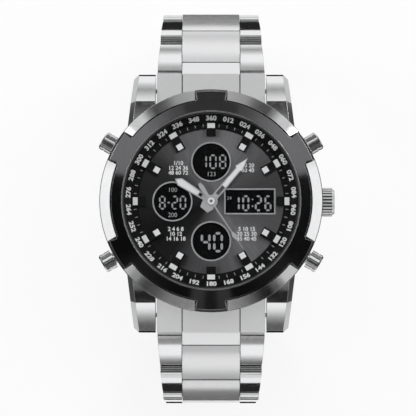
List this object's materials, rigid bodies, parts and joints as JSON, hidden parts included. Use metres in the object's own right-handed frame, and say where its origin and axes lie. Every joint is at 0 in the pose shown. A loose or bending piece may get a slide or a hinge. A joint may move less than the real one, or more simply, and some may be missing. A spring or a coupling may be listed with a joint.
{
  "type": "analogue digital wristwatch",
  "caption": "Wristwatch with hands, small digital windows, a notched bezel, push buttons, a crown and a steel link bracelet with a folding clasp.",
  "frame": {"origin": "Centre of the case back's outer face.", "axes": "+Z out of the dial, +Y towards 12 o'clock, +X towards 3 o'clock and the crown."},
  "size_m": [0.0489, 0.0828, 0.0544],
  "materials": {
    "steel_polished": "polished",
    "steel_brushed": "brushed",
    "black_gloss": "gloss black",
    "crystal": "clear",
    "rubber": "matt",
    "black_plastic": "matt black",
    "dial_grey": "sunburst grey",
    "display": "gloss black",
    "lume": "matt white",
    "board": "green",
    "hand_white": "white and steel",
    "brass": "plain"
  },
  "bodies": {
    "case": {"case_middle": "steel_brushed", "case_back": "steel_brushed", "case_back_gasket": "rubber", "case_back_screws": "steel_polished", "bezel_steel": "steel_polished", "bezel_black": "black_gloss", "crystal": "crystal", "crystal_gasket": "rubber", "flange_ring": "black_plastic", "dial_plate": "dial_grey", "window_frames": "steel_polished", "lcd_panel": "display", "hour_markers": "black_plastic", "lume_blocks": "lume", "movement_module": "black_plastic", "circuit_board": "board", "battery": "steel_polished", "movement_holder": "black_plastic", "control_tubes": "steel_polished", "end_link_12": "steel_brushed", "end_link_6": "steel_brushed", "lug_spring_bars": "steel_polished"},
    "hour_hand": {"hour_hand": "hand_white"},
    "minute_hand": {"minute_hand": "hand_white"},
    "seconds_hand": {"seconds_hand": "hand_white"},
    "pusher_2": {"pusher_2": "steel_polished"},
    "pusher_10": {"pusher_10": "steel_polished"},
    "pusher_8": {"pusher_8": "steel_polished"},
    "pusher_4": {"pusher_4": "steel_polished"},
    "setting_lever": {"setting_lever": "brass"},
    "crown": {"crown": "steel_polished"},
    "row_12_1": {"row_12_1_outer": "steel_polished", "row_12_1_centre": "steel_brushed"},
    "row_12_2": {"row_12_2_outer": "steel_polished", "row_12_2_centre": "steel_brushed"},
    "row_12_3": {"row_12_3_outer": "steel_polished", "row_12_3_centre": "steel_brushed"},
    "row_12_4": {"row_12_4_outer": "steel_polished", "row_12_4_centre": "steel_brushed"},
    "row_12_5": {"row_12_5_outer": "steel_polished", "row_12_5_centre": "steel_brushed"},
    "row_12_6": {"row_12_6_outer": "steel_polished", "row_12_6_centre": "steel_brushed", "clasp_spring_bar": "steel_polished"},
    "row_6_1": {"row_6_1_outer": "steel_polished", "row_6_1_centre": "steel_brushed"},
    "row_6_2": {"row_6_2_outer": "steel_polished", "row_6_2_centre": "steel_brushed"},
    "row_6_3": {"row_6_3_outer": "steel_polished", "row_6_3_centre": "steel_brushed"},
    "row_6_4": {"row_6_4_outer": "steel_polished", "row_6_4_centre": "steel_brushed"},
    "row_6_5": {"row_6_5_outer": "steel_polished", "row_6_5_centre": "steel_brushed"},
    "row_6_6": {"row_6_6_outer": "steel_polished", "row_6_6_centre": "steel_brushed"},
    "clasp_lower_blade": {"clasp_lower_blade": "steel_polished"},
    "clasp_middle_blade": {"clasp_middle_blade": "steel_polished"},
    "clasp_cover": {"clasp_cover": "steel_brushed"}
  },
  "joints": [
    {"name": "hour_hand_turn", "type": "hinge", "parent": "case", "child": "hour_hand", "pos_m": [0, 0, 0.0095], "axis": [0, 0, -1], "continuous": true},
    {"name": "minute_hand_turn", "type": "hinge", "parent": "case", "child": "minute_hand", "pos_m": [0, 0, 0.0095], "axis": [0, 0, -1], "continuous": true},
    {"name": "seconds_hand_turn", "type": "hinge", "parent": "case", "child": "seconds_hand", "pos_m": [0, 0, 0.0095], "axis": [0, 0, -1], "continuous": true},
    {"name": "pusher_2_press", "type": "slide", "parent": "case", "child": "pusher_2", "axis": [-0.866, -0.5, 0], "range_m": [0, 0.0008], "stiffness_N_per_m": 300, "springref_m": -0.003},
    {"name": "pusher_10_press", "type": "slide", "parent": "case", "child": "pusher_10", "axis": [0.866, -0.5, 0], "range_m": [0, 0.0008], "stiffness_N_per_m": 300, "springref_m": -0.003},
    {"name": "pusher_8_press", "type": "slide", "parent": "case", "child": "pusher_8", "axis": [0.866, 0.5, 0], "range_m": [0, 0.0008], "stiffness_N_per_m": 300, "springref_m": -0.003},
    {"name": "pusher_4_press", "type": "slide", "parent": "case", "child": "pusher_4", "axis": [-0.866, 0.5, 0], "range_m": [0, 0.0008], "stiffness_N_per_m": 300, "springref_m": -0.003},
    {"name": "crown_pull", "type": "slide", "parent": "case", "child": "setting_lever", "axis": [1, 0, 0], "range_m": [0, 0.0015]},
    {"name": "crown_turn", "type": "hinge", "parent": "setting_lever", "child": "crown", "pos_m": [0.02, 0, 0.0063], "axis": [1, 0, 0], "continuous": true},
    {"name": "row_12_1_bend", "type": "hinge", "parent": "case", "child": "row_12_1", "pos_m": [0, 0.0276, 0.001], "axis": [1, 0, 0], "range_deg": [0, 34]},
    {"name": "row_12_2_bend", "type": "hinge", "parent": "row_12_1", "child": "row_12_2", "pos_m": [0, 0.03465, -0.00375], "axis": [1, 0, 0], "range_deg": [0, 26]},
    {"name": "row_12_3_bend", "type": "hinge", "parent": "row_12_2", "child": "row_12_3", "pos_m": [0, 0.0389, -0.01111], "axis": [1, 0, 0], "range_deg": [0, 26]},
    {"name": "row_12_4_bend", "type": "hinge", "parent": "row_12_3", "child": "row_12_4", "pos_m": [0, 0.03949, -0.01959], "axis": [1, 0, 0], "range_deg": [0, 24]},
    {"name": "row_12_5_bend", "type": "hinge", "parent": "row_12_4", "child": "row_12_5", "pos_m": [0, 0.03658, -0.02758], "axis": [1, 0, 0], "range_deg": [0, 24]},
    {"name": "row_12_6_bend", "type": "hinge", "parent": "row_12_5", "child": "row_12_6", "pos_m": [0, 0.03068, -0.0337], "axis": [1, 0, 0], "range_deg": [0, 22]},
    {"name": "row_6_1_bend", "type": "hinge", "parent": "case", "child": "row_6_1", "pos_m": [0, -0.0276, 0.001], "axis": [-1, 0, 0], "range_deg": [0, 34]},
    {"name": "row_6_2_bend", "type": "hinge", "parent": "row_6_1", "child": "row_6_2", "pos_m": [0, -0.03465, -0.00375], "axis": [-1, 0, 0], "range_deg": [0, 26]},
    {"name": "row_6_3_bend", "type": "hinge", "parent": "row_6_2", "child": "row_6_3", "pos_m": [0, -0.0389, -0.01111], "axis": [-1, 0, 0], "range_deg": [0, 26]},
    {"name": "row_6_4_bend", "type": "hinge", "parent": "row_6_3", "child": "row_6_4", "pos_m": [0, -0.03949, -0.01959], "axis": [-1, 0, 0], "range_deg": [0, 24]},
    {"name": "row_6_5_bend", "type": "hinge", "parent": "row_6_4", "child": "row_6_5", "pos_m": [0, -0.03658, -0.02758], "axis": [-1, 0, 0], "range_deg": [0, 24]},
    {"name": "row_6_6_bend", "type": "hinge", "parent": "row_6_5", "child": "row_6_6", "pos_m": [0, -0.03068, -0.0337], "axis": [-1, 0, 0], "range_deg": [0, 22]},
    {"name": "clasp_swing", "type": "hinge", "parent": "row_6_6", "child": "clasp_lower_blade", "pos_m": [0, -0.02291, -0.03715], "axis": [-1, 0, 0], "range_deg": [0, 24]},
    {"name": "clasp_open", "type": "hinge", "parent": "clasp_lower_blade", "child": "clasp_middle_blade", "pos_m": [0, 0.01551, -0.03845], "axis": [1, 0, 0], "range_deg": [0, 160]},
    {"name": "cover_fold", "type": "hinge", "parent": "clasp_middle_blade", "child": "clasp_cover", "pos_m": [0, -0.01751, -0.0393], "axis": [1, 0, 0], "range_deg": [-160, 0]}
  ],
  "couplings": [
    {"joint": "hour_hand_turn", "follows": "minute_hand_turn", "ratio": 0.083333},
    {"joint": "seconds_hand_turn", "follows": "minute_hand_turn", "ratio": 60},
    {"joint": "cover_fold", "follows": "clasp_open", "ratio": -1}
  ]
}
